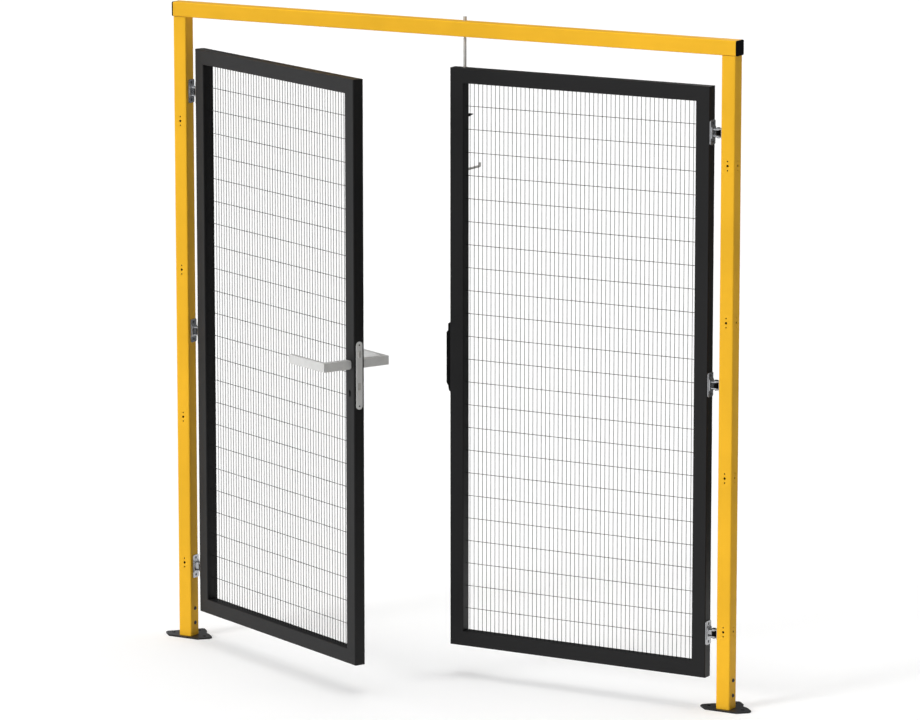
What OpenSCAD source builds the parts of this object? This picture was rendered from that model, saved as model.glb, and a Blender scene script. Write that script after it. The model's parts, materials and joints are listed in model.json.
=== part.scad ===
// Double-leaf wire mesh door in a post-and-beam frame, as used in machine guarding.
// Origin: on the floor, midway between the posts, on the line of the side anchor holes.
// X runs along the beam, Y towards the back, Z up. The left leaf is drawn part open.

/* [Frame] */
// Clear width between the two posts
clear_w = 2030; // [1700:10:2400]
// Outer size of the square post and beam tube
post_w = 50; // [50:2:60]
// Height of the beam's underside above the floor
beam_z = 2160; // [2140:10:2300]
// Wall of every tube
tube_wall = 2; // [1.5:0.5:2.5]
// Outer corner radius of the post and beam tube
tube_corner = 5; // [3:0.5:6]
// Thickness of the beam's end caps
cap_t = 5; // [3:1:8]
// Height of the lowest panel fixing hole
fixing_z = 265; // [240:5:300]
// Spacing of the panel fixing holes up the post
fixing_pitch = 513; // [480:1:520]
// Diameter of a panel fixing hole
fixing_d = 8.5; // [8:0.5:10]
// Diameter of the pilot holes above and below it
pilot_d = 5; // [4:0.5:6]

/* [Feet] */
// Thickness of the foot plate
foot_t = 6; // [5:1:10]
// Reach of the foot plate to each side of the post's centre
foot_side = 90; // [85:1:110]
// Reach of the foot plate behind the post's centre
foot_rear = 96; // [90:1:110]
// Height of the spigot inside the post
spigot_h = 130; // [120:5:160]
// Diameter of the floor anchor holes
anchor_d = 13; // [11:0.5:14]

/* [Leaves] */
// Gap between a post and its leaf
side_gap = 46; // [46:1:50]
// Gap between the closed leaves
centre_gap = 18; // [18:1:22]
// Height of a leaf's lower edge above the floor
leaf_bottom = 100; // [60:5:110]
// Height of a leaf
leaf_h = 1955; // [1950:5:1985]
// Width of the leaf tube, seen from the front
leaf_face = 50; // [48:1:55]
// Depth of the leaf tube
leaf_depth = 40; // [40:1:44]
// Outer corner radius of the leaf tube
leaf_corner = 3; // [2:0.5:4]
// Distance of the leaves' middle plane behind the posts' middle plane
leaf_y = 5; // [0:1:5]
// How far the left leaf is drawn open, in degrees
open_angle = 25.5; // [0:0.5:80]

/* [Mesh] */
// Diameter of the wires
wire_d = 2; // [1.5:0.1:3]
// Number of upright wires in a leaf
mesh_cols = 53; // [20:1:70]
// Number of cross wires in a leaf
mesh_rows = 23; // [8:1:40]

/* [Hinges] */
// Distance from a leaf's ends to its outer hinges
hinge_end = 150; // [100:5:250]
// Length of a hinge plate
hinge_len = 80; // [76:1:90]
// Width of a hinge plate
hinge_w = 36; // [32:1:38]
// Thickness of the hinge plates and their lugs
hinge_t = 3; // [2.5:0.5:3]
// Diameter of the hinge pins
pin_d = 8; // [6:0.5:9]
// Distance between the two screws of a hinge plate
hinge_pitch = 60; // [54:1:62]

/* [Lock] */
// Height of the handle spindle above the floor
spindle_z = 1112; // [1100:1:1120]
// Distance of the spindle from the leaf's free edge
backset = 25; // [25:0.5:27]
// Length of the lock's forend
forend_len = 227; // [225:1:235]
// Width of the lock's forend
forend_w = 24; // [22:1:26]
// Thickness of the lock's forend
forend_t = 2.5; // [2:0.5:3]
// How far the latch bolt stands out of the forend
latch_out = 5; // [3:0.5:5]

/* [Handles] */
// Reach of a handle from the leaf's face
handle_reach = 108; // [70:1:120]
// Length of a lever
lever_len = 207; // [110:1:220]
// Height of the lever bar
lever_h = 30; // [20:1:32]
// Thickness of the lever bar
lever_t = 14; // [10:1:18]
// Thickness of the neck bar
neck_t = 20; // [16:1:24]

/* [Shoot bolt] */
// Diameter of the rod
rod_d = 10; // [8:0.5:12]
// Length of the rod
rod_len = 515; // [500:5:560]
// Gap between the lowered rod and the beam
rod_gap = 5; // [3:1:8]
// Upward travel of the rod
rod_travel = 65; // [60:1:80]
// Height of the rod's handle above the floor
rod_handle_z = 1712; // [1690:1:1730]

/* [Hidden] */

// Colours
YELLOW = [0.92, 0.65, 0.10];
LEAF_BLACK = [0.11, 0.11, 0.11];
WIRE_BLACK = [0.10, 0.10, 0.10];
FOOT_BLACK = [0.13, 0.13, 0.14];
HINGE_GREY = [0.30, 0.31, 0.33];
ZINC = [0.62, 0.62, 0.64];
DARK_STEEL = [0.20, 0.20, 0.22];
ALUMINIUM = [0.80, 0.80, 0.79];
PLASTIC = [0.05, 0.05, 0.05];

// Clearances: small parts that only pass through a hole, and parts that turn or slide in one
loose = 0.25;
running = 0.06;
seated = 0.03;
// Facets of a small and of a larger round face
fine = 32;
round_fn = 48;

// Frame
post_x = clear_w / 2 + post_w / 2;
post_half = post_w / 2;
beam_top = beam_z + post_w;
beam_len = clear_w + 2 * post_w;
pilot_offset = 15;
fixing_heights = [for (i = [0:3]) fixing_z + fixing_pitch * i];

// Feet
anchor_side = 62;
anchor_rear = 66;
spigot_w = post_w - 2 * tube_wall - 1;
spigot_wall = 3;
foot_screw_heights = [50, 101];
foot_screw_d = 8;
foot_screw_len = 12;
foot_head_r = 6.8;
foot_head_h = 4.2;
foot_outline_half = [
    [0, -38], [58, -38], [foot_side, -8], [foot_side, 6], [62, 34], [42, 44], [32, 67], [5, foot_rear]
];

// Beam joints
plug_w = post_w - 2 * tube_wall - 2 * loose;
plug_h = 65;
beam_bolt_offset = 9;
beam_bolt_d = 8;
beam_bolt_len = 24;
beam_bolt_head_r = 7.2;
beam_bolt_head_h = 5.3;
cap_plug_depth = 7;
cap_plug_wall = 2.5;

// Leaves: x is measured from the hinge axis along the leaf
axis_off = side_gap / 2;
leaf_w = (clear_w - 2 * side_gap - centre_gap) / 2;
leaf_end = axis_off + leaf_w;
leaf_top = leaf_bottom + leaf_h;
leaf_half = leaf_depth / 2;
open_x0 = axis_off + leaf_face;
open_x1 = leaf_end - leaf_face;
open_z0 = leaf_bottom + leaf_face;
open_z1 = leaf_top - leaf_face;
wire_r = wire_d / 2 / cos(22.5);
hinge_heights = [leaf_bottom + hinge_end, leaf_bottom + leaf_h / 2, leaf_top - hinge_end];

// Hinges
hinge_corner = 5;
post_lug_z = 12;
step_w = 30;
step_out = 4;
step_top = post_lug_z + hinge_t + 1;
step_base = step_top + 6;
lug_r = 10;
leaf_lug_z = post_lug_z - hinge_t - 0.2;
pin_r = pin_d / 2;
pin_head_r = pin_r + 2.5;
pin_head_t = 2.5;
bush_r = lug_r - 2;
hinge_screw_r = 2.5;
hinge_head_r = 4.8;
hinge_head_h = 2.3;
hinge_screw_len = 14;

// Lock
spindle_x = leaf_end - backset;
spindle_w = 8;
forend_z = spindle_z - 36;
latch_z = spindle_z + 36;
latch_h = 22;
bolt_w = 11;
bolt_z = spindle_z - 72;
bolt_h = 24;
bolt_throw = 12;
keyhole_z = spindle_z - 92;
keyhole_r = 5.5;
keyhole_slot_w = 8;
keyhole_drop = 16;
case_z0 = spindle_z - 130;
case_z1 = spindle_z + 58;
case_x0 = leaf_end - leaf_face + tube_wall + 2;
case_half = 9;
case_wall = 1.5;
shelf_t = 3;
shelf_w = 10;
forend_screw_pitch = 204;
forend_screw_r = 2;
forend_screw_len = 10.6;
forend_head_r = 2.8;
forend_head_h = 1.6;
spindle_hole_d = 18;
hub_r = 6.6;
disc_r = 8.5;
disc_half = 7;
finger_w = 6;
finger_t = 4;
lift_finger = 12;
spring_finger = 14;
spring_r = 3.5;
spring_wall = 1;
spring_x = spindle_x - 12;
spring_top = spindle_z - finger_t / 2 - 0.4;
spring_len = 30;
latch_rear = leaf_end - 14;
latch_bevel = 2;
claw_x = spindle_x - 9;
claw_t = 4.3;
claw_h = 10;
bolt_len = 32;
bolt_recess = 0.5;
bit_notch_w = 10;
bit_notch_h = 6;

// Handles
spindle_end = 28;
grub_r = 3;
grub_y = leaf_half + 14;
neck_corner = 8;

// Strike box: outline in x and z, from the meeting stile's edge
strike_half = 19;
strike_face = leaf_end + centre_gap - 4;
flange_face = leaf_end + 8;
strike_floor = leaf_end + 2;
pocket_side = 0.8;
pocket_end = 2;
strike_screw_d = 4;
strike_screw_z = [spindle_z - 130, spindle_z + 74];
strike_screw_seats = [flange_face - 3, flange_face];

// Shoot bolt
rod_r = rod_d / 2;
rod_x = leaf_end - 40;
rod_y = 10;
rod_top = beam_z - rod_gap;
rod_bottom = rod_top - rod_len;
rod_nose = 4;
rod_fit = 0.09;
keeper_wall = 1;
keeper_r = rod_r + 0.75;
keeper_flange = 1.3;
keeper_depth = rod_travel - rod_gap + 2;
keeper_top = beam_z + keeper_depth + keeper_wall;
guide_heights = [rod_bottom + 20, leaf_top - 110];
guide_h = 20;
guide_w = 34;
bush_len = 20;
bush_wall = 0.9;
bush_flange = 2.8;
bush_flange_t = 1.2;
arm_r = 4;
arm_neck_r = 3;
arm_end = leaf_half + 90;
arm_upturn = 12;
stay_z = rod_handle_z + 181;
stay_base_t = 3;
stay_rib_t = 4;
stay_screw_d = 4;
stay_screw_z = [stay_z - 12, stay_z + 12];

// Outline of a rectangle with round corners, centred
function rounded(w, d, r, n = 4) = [
    for (c = [0:3])
        for (i = [0:n])
            let (a = 90 * (c + i / n))
            let (sx = (c == 0 || c == 3) ? 1 : -1)
            let (sy = c < 2 ? 1 : -1)
            [sx * (w / 2 - r) + r * cos(a), sy * (d / 2 - r) + r * sin(a)]
];

// Outline of a strip with round ends, its length along y, centred
function stadium(len, w, n = 10) = [
    for (c = [0, 1])
        for (i = [0:n])
            let (a = 180 * (c + i / n))
            [w / 2 * cos(a), (c == 0 ? 1 : -1) * (len / 2 - w / 2) + w / 2 * sin(a)]
];

// Outline of a strip along x that ends in a half circle round the origin
function lug_outline(reach, r, n = 10) = concat(
    [[-reach, r], [-reach, -r]],
    [for (i = [0:n]) let (a = -90 + 180 * i / n) [r * cos(a), r * sin(a)]]
);

// Square or rectangular tube standing on z = 0
module tube(w, d, len, r) {
    linear_extrude(len)
        difference() {
            polygon(rounded(w, d, r));
            polygon(rounded(w - 2 * tube_wall, d - 2 * tube_wall, r - tube_wall + 0.5));
        }
}

// Solid bar or plate from an outline drawn in y and z, thick along x
module slab_x(t) {
    rotate([90, 0, 90])
        linear_extrude(t)
            children();
}

// Solid from an outline drawn in x and z, thick along y and centred on it
module slab_y(t) {
    rotate([90, 0, 0])
        linear_extrude(t, center = true)
            children();
}

// Round bar along x or y, centred
module bar_x(d, len, fn = fine) {
    rotate([0, 90, 0])
        cylinder(d = d, h = len, center = true, $fn = fn);
}

module bar_y(d, len, fn = fine) {
    rotate([90, 0, 0])
        cylinder(d = d, h = len, center = true, $fn = fn);
}

// Where the leaves hang: the left one is turned open, the right one is its closed mirror image
module left_axis() {
    translate([-clear_w / 2 + axis_off, leaf_y, 0])
        children();
}

module right_axis() {
    translate([clear_w / 2 - axis_off, leaf_y, 0])
        mirror([1, 0, 0])
            children();
}

module left_leaf() {
    left_axis()
        rotate([0, 0, -open_angle])
            children();
}

module at_hinges() {
    for (z = hinge_heights)
        translate([0, 0, z])
            children();
}

// ---- Frame ----

module foot(side) {
    translate([side * post_x, 0, 0]) {
        difference() {
            linear_extrude(foot_t)
                polygon(concat(
                    foot_outline_half,
                    [for (i = [len(foot_outline_half) - 1:-1:1])
                        [-foot_outline_half[i][0], foot_outline_half[i][1]]]
                ));
            for (s = [-1, 1])
                translate([s * anchor_side, 0, -1])
                    cylinder(d = anchor_d, h = foot_t + 2, $fn = round_fn);
            translate([0, anchor_rear, -1])
                cylinder(d = anchor_d, h = foot_t + 2, $fn = round_fn);
        }
        difference() {
            translate([0, 0, foot_t])
                linear_extrude(spigot_h - foot_t)
                    difference() {
                        polygon(rounded(spigot_w, spigot_w, tube_corner - 1));
                        polygon(rounded(spigot_w - 2 * spigot_wall, spigot_w - 2 * spigot_wall, 1.5));
                    }
            for (z = foot_screw_heights)
                translate([0, 0, z])
                    bar_x(foot_screw_d + 2 * seated, spigot_w + 2);
        }
    }
}

module left_foot() {
    color(FOOT_BLACK)
        foot(-1);
}

module right_foot() {
    color(FOOT_BLACK)
        foot(1);
}

// Button-head screw along +x, its head resting on x = 0 and its shank going to -x
module button_screw(d, head_r, head_h, len) {
    top_share = 0.72;
    socket_share = 0.36;
    socket_floor = 0.4;
    difference() {
        union() {
            rotate([0, 90, 0])
                cylinder(r1 = head_r, r2 = head_r * top_share, h = head_h, $fn = fine);
            translate([-len / 2 + 0.5, 0, 0])
                bar_x(d, len + 1);
        }
        translate([head_h * socket_floor, 0, 0])
            rotate([0, 90, 0])
                cylinder(r = d * socket_share, h = head_h, $fn = 6);
    }
}

module foot_screws() {
    color(DARK_STEEL)
        for (side = [-1, 1])
            for (face = [0, 180])
                for (z = foot_screw_heights)
                    translate([side * post_x, 0, z])
                        rotate([0, 0, face])
                            translate([post_half, 0, 0])
                                button_screw(foot_screw_d, foot_head_r, foot_head_h, foot_screw_len);
}

// One panel fixing hole with its two pilot holes, through a wall that faces -y
module fixing_group() {
    bar_y(fixing_d, 2 * tube_wall + 2);
    for (s = [-1, 1])
        translate([0, 0, s * pilot_offset])
            bar_y(pilot_d, 2 * tube_wall + 2);
}

module post(side) {
    difference() {
        translate([side * post_x, 0, foot_t])
            tube(post_w, post_w, beam_z - foot_t, tube_corner);
        for (z = fixing_heights) {
            translate([side * post_x, -post_half, z])
                fixing_group();
            translate([side * (post_x + post_half), 0, z])
                rotate([0, 0, 90])
                    fixing_group();
        }
        for (z = foot_screw_heights)
            translate([side * post_x, 0, z])
                bar_x(foot_screw_d + 2 * loose, post_w + 2);
        for (z = hinge_heights)
            for (s = [-1, 1])
                translate([side * clear_w / 2, leaf_y, z + s * hinge_pitch / 2])
                    bar_x(2 * hinge_screw_r + 2 * seated, 2 * tube_wall + 2);
    }
}

module left_post() {
    color(YELLOW)
        post(-1);
}

module right_post() {
    color(YELLOW)
        post(1);
}

module top_beam() {
    color(YELLOW)
        difference() {
            translate([-beam_len / 2, 0, beam_z + post_half])
                rotate([0, 90, 0])
                    tube(post_w, post_w, beam_len, tube_corner);
            at_beam_bolts()
                cylinder(d = beam_bolt_d + 2 * loose, h = 2 * tube_wall + 2, center = true, $fn = fine);
            right_axis()
                translate([rod_x, rod_y, beam_z - 1])
                    cylinder(r = keeper_r + seated, h = post_w + 2, $fn = round_fn);
        }
}

// Places of the beam's fixing bolts, on the beam's underside
module at_beam_bolts() {
    for (side = [-1, 1])
        for (s = [-1, 1])
            translate([side * post_x + s * beam_bolt_offset, 0, beam_z])
                children();
}

// Hollow plug with a flat cover, closing the beam's end that faces +x
module beam_cap() {
    inside_w = plug_w - 2 * cap_plug_wall;
    translate([beam_len / 2, 0, beam_z + post_half]) {
        rotate([0, 90, 0])
            linear_extrude(cap_t)
                polygon(rounded(post_w, post_w, tube_corner + 1));
        translate([-cap_plug_depth, 0, 0])
            rotate([0, 90, 0])
                linear_extrude(cap_plug_depth)
                    difference() {
                        polygon(rounded(plug_w, plug_w, tube_corner - 1));
                        polygon(rounded(inside_w, inside_w, 1.5));
                    }
    }
}

module right_beam_cap() {
    color(PLASTIC)
        beam_cap();
}

module left_beam_cap() {
    color(PLASTIC)
        mirror([1, 0, 0])
            beam_cap();
}

module head_plugs() {
    color(DARK_STEEL)
        difference() {
            for (side = [-1, 1])
                translate([side * post_x, 0, beam_z - plug_h])
                    linear_extrude(plug_h)
                        polygon(rounded(plug_w, plug_w, tube_corner - 1));
            at_beam_bolts()
                cylinder(d = beam_bolt_d + 2 * seated, h = 2 * beam_bolt_len + 2, center = true, $fn = fine);
        }
}

module beam_bolts() {
    head_z = tube_wall + 0.01;
    color(ZINC)
        at_beam_bolts()
            union() {
                translate([0, 0, -beam_bolt_len])
                    cylinder(d = beam_bolt_d, h = beam_bolt_len + head_z + 1, $fn = fine);
                translate([0, 0, head_z])
                    cylinder(r = beam_bolt_head_r, h = beam_bolt_head_h, $fn = 6);
            }
}

// Closed sleeve that the shoot bolt's rod enters, with a flange under the beam
module bolt_keeper() {
    color(ZINC)
        right_axis()
            translate([rod_x, rod_y, 0])
                difference() {
                    union() {
                        translate([0, 0, beam_z - 1])
                            cylinder(r = keeper_r, h = keeper_top - beam_z + 1, $fn = round_fn);
                        translate([0, 0, beam_z - 1])
                            cylinder(r = keeper_r + keeper_flange, h = 1, $fn = round_fn);
                    }
                    translate([0, 0, beam_z - 2])
                        cylinder(r = rod_r + rod_fit, h = keeper_depth + 2, $fn = round_fn);
                }
}

// ---- Hinges: x = 0 is the pin's axis and the post lies towards -x ----

// Raised step across the middle of a plate, with slanted ends
module hinge_step(face) {
    rotate([90, 0, 0])
        linear_extrude(step_w, center = true)
            polygon([
                [face - hinge_t / 2, -step_base], [face, -step_base],
                [face + step_out, -step_top], [face + step_out, step_top],
                [face, step_base], [face - hinge_t / 2, step_base]
            ]);
}

// Plate on the post's face with a step across it that carries the two lugs at the given height
module hinge_bracket(lug_z, bore_r) {
    face = -axis_off + hinge_t;
    difference() {
        union() {
            translate([-axis_off, 0, 0])
                slab_x(hinge_t)
                    polygon(rounded(hinge_w, hinge_len, hinge_corner));
            hinge_step(face);
            for (s = [-1, 1])
                translate([0, 0, s * (lug_z + hinge_t / 2) - hinge_t / 2])
                    linear_extrude(hinge_t)
                        polygon(lug_outline(axis_off - hinge_t / 2, lug_r));
        }
        cylinder(r = bore_r, h = 4 * post_lug_z, center = true, $fn = round_fn);
        for (s = [-1, 1])
            translate([face, 0, s * hinge_pitch / 2]) {
                bar_x(2 * hinge_screw_r + 2 * loose, 3 * hinge_t);
                rotate([0, 90, 0])
                    translate([0, 0, -hinge_head_h])
                        cylinder(
                            r1 = hinge_screw_r + loose, r2 = hinge_head_r + loose,
                            h = hinge_head_h, $fn = fine
                        );
            }
    }
}

// Two countersunk screws of a hinge plate, going into the post
module hinge_screws() {
    for (s = [-1, 1])
        translate([-axis_off + hinge_t, 0, s * hinge_pitch / 2])
            difference() {
                union() {
                    rotate([0, 90, 0])
                        translate([0, 0, -hinge_head_h])
                            cylinder(r1 = hinge_screw_r, r2 = hinge_head_r, h = hinge_head_h, $fn = fine);
                    translate([-hinge_screw_len / 2 - 0.5, 0, 0])
                        bar_x(2 * hinge_screw_r, hinge_screw_len - 1);
                }
                translate([0.5, 0, 0])
                    rotate([0, -90, 0])
                        cylinder(r = 2, h = 2.2, $fn = 6);
            }
}

module hinge_pin() {
    head_z = post_lug_z + hinge_t + 0.02;
    cylinder(r = pin_r, h = 2 * head_z + 1, center = true, $fn = round_fn);
    for (s = [0, 1])
        mirror([0, 0, s])
            translate([0, 0, head_z])
                cylinder(r1 = pin_head_r, r2 = pin_head_r - 1, h = pin_head_t, $fn = round_fn);
}

module hinge_bush() {
    difference() {
        cylinder(r = bush_r, h = 2 * leaf_lug_z - 0.1, center = true, $fn = round_fn);
        cylinder(r = pin_r + running, h = 3 * leaf_lug_z, center = true, $fn = round_fn);
    }
}

module left_post_brackets() {
    color(HINGE_GREY)
        left_axis()
            at_hinges()
                hinge_bracket(post_lug_z, pin_r + seated);
}

module right_post_brackets() {
    color(HINGE_GREY)
        right_axis()
            at_hinges()
                hinge_bracket(post_lug_z, pin_r + seated);
}

module left_hinge_pins() {
    color(DARK_STEEL)
        left_axis()
            at_hinges()
                hinge_pin();
}

module right_hinge_pins() {
    color(DARK_STEEL)
        right_axis()
            at_hinges()
                hinge_pin();
}

module left_post_bracket_screws() {
    color(DARK_STEEL)
        left_axis()
            at_hinges()
                hinge_screws();
}

module right_post_bracket_screws() {
    color(DARK_STEEL)
        right_axis()
            at_hinges()
                hinge_screws();
}

// ---- Leaves, drawn along +x from the hinge axis ----

// Upright tube between two heights with both ends cut at 45 degrees
module stile(x, inner_x) {
    outer_x = 2 * x - inner_x;
    intersection() {
        translate([x, 0, leaf_bottom])
            tube(leaf_face, leaf_depth, leaf_h, leaf_corner);
        slab_y(leaf_depth + 2)
            polygon([
                [outer_x, leaf_bottom], [outer_x, leaf_top], [inner_x, open_z1], [inner_x, open_z0]
            ]);
    }
}

// Level tube of a leaf with both ends cut at 45 degrees
module rail(z, inner_z) {
    outer_z = 2 * z - inner_z;
    intersection() {
        translate([axis_off, 0, z])
            rotate([0, 90, 0])
                tube(leaf_face, leaf_depth, leaf_w, leaf_corner);
        slab_y(leaf_depth + 2)
            polygon([
                [axis_off, outer_z], [leaf_end, outer_z], [open_x1, inner_z], [open_x0, inner_z]
            ]);
    }
}

module hinge_stile() {
    difference() {
        stile(axis_off + leaf_face / 2, open_x0);
        at_hinges()
            for (s = [-1, 1])
                translate([axis_off, 0, s * hinge_pitch / 2])
                    bar_x(2 * hinge_screw_r + 2 * seated, 2 * tube_wall + 2);
    }
}

module free_stile() {
    stile(leaf_end - leaf_face / 2, open_x1);
}

module top_rail() {
    rail(leaf_top - leaf_face / 2, open_z1);
}

module bottom_rail() {
    rail(leaf_bottom + leaf_face / 2, open_z0);
}

module upright_wires() {
    pitch = (open_x1 - open_x0) / (mesh_cols + 1);
    for (i = [1:mesh_cols])
        translate([open_x0 + i * pitch, -wire_d / 2, open_z0])
            rotate([0, 0, 22.5])
                cylinder(r = wire_r, h = open_z1 - open_z0, $fn = 8);
}

module cross_wires() {
    pitch = (open_z1 - open_z0) / (mesh_rows + 1);
    for (i = [1:mesh_rows])
        translate([open_x0, wire_d / 2, open_z0 + i * pitch])
            rotate([0, 90, 0])
                rotate([0, 0, 22.5])
                    cylinder(r = wire_r, h = open_x1 - open_x0, $fn = 8);
}

// The same bracket as on the post, turned to face the leaf's edge
module leaf_bracket() {
    mirror([1, 0, 0])
        hinge_bracket(leaf_lug_z, pin_r + running);
}

module leaf_bracket_screws() {
    at_hinges()
        mirror([1, 0, 0])
            hinge_screws();
}

module left_hinge_stile() {
    color(LEAF_BLACK)
        left_leaf()
            hinge_stile();
}

module left_top_rail() {
    color(LEAF_BLACK)
        left_leaf()
            top_rail();
}

module left_bottom_rail() {
    color(LEAF_BLACK)
        left_leaf()
            bottom_rail();
}

module left_upright_wires() {
    color(WIRE_BLACK)
        left_leaf()
            upright_wires();
}

module left_cross_wires() {
    color(WIRE_BLACK)
        left_leaf()
            cross_wires();
}

module left_leaf_brackets() {
    color(HINGE_GREY)
        left_leaf()
            at_hinges()
                leaf_bracket();
}

module left_hinge_bushes() {
    color(PLASTIC)
        left_leaf()
            at_hinges()
                hinge_bush();
}

module left_leaf_bracket_screws() {
    color(DARK_STEEL)
        left_leaf()
            leaf_bracket_screws();
}

module right_hinge_stile() {
    color(LEAF_BLACK)
        right_axis()
            hinge_stile();
}

module right_bottom_rail() {
    color(LEAF_BLACK)
        right_axis()
            bottom_rail();
}

module right_upright_wires() {
    color(WIRE_BLACK)
        right_axis()
            upright_wires();
}

module right_cross_wires() {
    color(WIRE_BLACK)
        right_axis()
            cross_wires();
}

module right_leaf_brackets() {
    color(HINGE_GREY)
        right_axis()
            at_hinges()
                leaf_bracket();
}

module right_hinge_bushes() {
    color(PLASTIC)
        right_axis()
            at_hinges()
                hinge_bush();
}

module right_leaf_bracket_screws() {
    color(DARK_STEEL)
        right_axis()
            leaf_bracket_screws();
}

// ---- Lock, in the left leaf's free stile ----

// Keyhole through everything along y
module keyhole() {
    translate([spindle_x, 0, keyhole_z])
        bar_y(2 * keyhole_r, 2 * leaf_depth);
    translate([spindle_x, 0, keyhole_z - keyhole_drop / 2])
        cube([keyhole_slot_w, 2 * leaf_depth, keyhole_drop], center = true);
}

module left_lock_stile() {
    case_mid = (case_z0 + case_z1) / 2;
    color(LEAF_BLACK)
        left_leaf()
            difference() {
                free_stile();
                translate([leaf_end, 0, case_mid])
                    cube(
                        [2 * tube_wall + 2, 2 * (case_half + loose), case_z1 - case_z0 + 2 * loose],
                        center = true
                    );
                translate([spindle_x, 0, spindle_z])
                    bar_y(spindle_hole_d, leaf_depth + 2);
                keyhole();
                for (s = [-1, 1])
                    translate([leaf_end, 0, forend_z + s * forend_screw_pitch / 2])
                        bar_x(2 * forend_screw_r + 2 * seated, 2 * tube_wall + 2);
            }
}

module lock_case() {
    case_h = case_z1 - case_z0;
    shelf_z = spring_top - spring_len - shelf_t;
    color(DARK_STEEL)
        left_leaf()
            difference() {
                union() {
                    difference() {
                        translate([case_x0, -case_half, case_z0])
                            cube([leaf_end - case_x0, 2 * case_half, case_h]);
                        translate([case_x0 + case_wall, -case_half + case_wall, case_z0 + case_wall])
                            cube([
                                leaf_end - case_x0 - 2 * case_wall,
                                2 * (case_half - case_wall),
                                case_h - 2 * case_wall
                            ]);
                    }
                    translate([case_x0 + case_wall / 2, -shelf_w / 2, shelf_z])
                        cube([spring_x - case_x0 + spring_r, shelf_w, shelf_t]);
                }
                translate([spindle_x, 0, spindle_z])
                    bar_y(2 * (hub_r + 0.08), 3 * case_half);
                keyhole();
                translate([leaf_end, 0, latch_z])
                    cube([4 * case_wall, bolt_w + 2 * loose, latch_h + 2 * loose], center = true);
                translate([leaf_end, 0, bolt_z])
                    cube([4 * case_wall, bolt_w + 2 * loose, bolt_h + 2 * loose], center = true);
            }
}

module lock_forend() {
    color(ALUMINIUM)
        left_leaf()
            difference() {
                translate([leaf_end, 0, forend_z])
                    slab_x(forend_t)
                        polygon(stadium(forend_len, forend_w));
                translate([leaf_end, 0, latch_z])
                    cube([4 * forend_t, bolt_w + 2 * loose, latch_h + 2 * loose], center = true);
                translate([leaf_end, 0, bolt_z])
                    cube([4 * forend_t, bolt_w + 2 * loose, bolt_h + 2 * loose], center = true);
                for (s = [-1, 1])
                    translate([leaf_end, 0, forend_z + s * forend_screw_pitch / 2]) {
                        bar_x(2 * forend_screw_r + 2 * loose, 4 * forend_t);
                        translate([forend_t - forend_head_h, 0, 0])
                            rotate([0, 90, 0])
                                cylinder(
                                    r1 = forend_screw_r + loose, r2 = forend_head_r + loose,
                                    h = forend_head_h, $fn = fine
                                );
                    }
            }
}

module forend_screws() {
    color(DARK_STEEL)
        left_leaf()
            for (s = [-1, 1])
                translate([leaf_end + forend_t, 0, forend_z + s * forend_screw_pitch / 2])
                    difference() {
                        union() {
                            translate([-forend_head_h, 0, 0])
                                rotate([0, 90, 0])
                                    cylinder(
                                        r1 = forend_screw_r, r2 = forend_head_r, h = forend_head_h, $fn = fine
                                    );
                            translate([0.5 - forend_screw_len / 2 - forend_head_h / 2, 0, 0])
                                bar_x(2 * forend_screw_r, forend_screw_len - forend_head_h + 1);
                        }
                        translate([0.5, 0, 0])
                            rotate([0, -90, 0])
                                cylinder(r = 1.4, h = 1.7, $fn = 6);
                    }
}

// Hub that the spindle turns, with a finger for the latch and one for the spring
module lock_follower() {
    color(ZINC)
        left_leaf()
            translate([spindle_x, 0, spindle_z])
                difference() {
                    union() {
                        bar_y(2 * hub_r, 2 * case_half + 1, round_fn);
                        bar_y(2 * disc_r, 2 * disc_half, round_fn);
                        translate([-finger_t / 2, -finger_w / 2, 0])
                            cube([finger_t, finger_w, lift_finger]);
                        translate([-spring_finger, -finger_w / 2, -finger_t / 2])
                            cube([spring_finger, finger_w, finger_t]);
                    }
                    cube([spindle_w + 2 * seated, 3 * leaf_depth, spindle_w + 2 * seated], center = true);
                }
}

// Compression spring under the follower's finger, as a plain sleeve of its outer size
module handle_spring() {
    color(ZINC)
        left_leaf()
            translate([spring_x, 0, spring_top - spring_len])
                difference() {
                    cylinder(r = spring_r, h = spring_len, $fn = fine);
                    translate([0, 0, -1])
                        cylinder(r = spring_r - spring_wall, h = spring_len + 2, $fn = fine);
                }
}

// Latch: a bevelled head, a tail in the case and a claw that the follower pulls back
module latch_bolt() {
    face = leaf_end + forend_t;
    tip = face + latch_out;
    claw_z = spindle_z + disc_r + 0.5;
    color(ZINC)
        left_leaf() {
            translate([0, 0, latch_z - latch_h / 2])
                linear_extrude(latch_h)
                    polygon([
                        [latch_rear, -bolt_w / 2], [tip, -bolt_w / 2], [tip, -bolt_w / 2 + latch_bevel],
                        [face + 0.3, bolt_w / 2], [latch_rear, bolt_w / 2]
                    ]);
            translate([claw_x, -finger_w / 2, latch_z - claw_h / 2])
                cube([latch_rear - claw_x + 1, finger_w, claw_h]);
            translate([claw_x, -finger_w / 2, claw_z])
                cube([claw_t, finger_w, latch_z - claw_z]);
        }
}

// Dead bolt, drawn back: a block with a notch below for the key's bit
module dead_bolt() {
    front = leaf_end + forend_t - bolt_recess;
    color(ZINC)
        left_leaf()
            difference() {
                translate([front - bolt_len, -bolt_w / 2, bolt_z - bolt_h / 2])
                    cube([bolt_len, bolt_w, bolt_h]);
                translate([spindle_x - bit_notch_w / 2, -bolt_w, bolt_z - bolt_h / 2 - 1])
                    cube([bit_notch_w, 2 * bolt_w, bit_notch_h + 1]);
            }
}

// ---- Handles ----

module handle_spindle() {
    color(ZINC)
        left_leaf()
            translate([spindle_x, 0, spindle_z])
                cube([spindle_w, 2 * (leaf_half + spindle_end), spindle_w], center = true);
}

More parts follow.
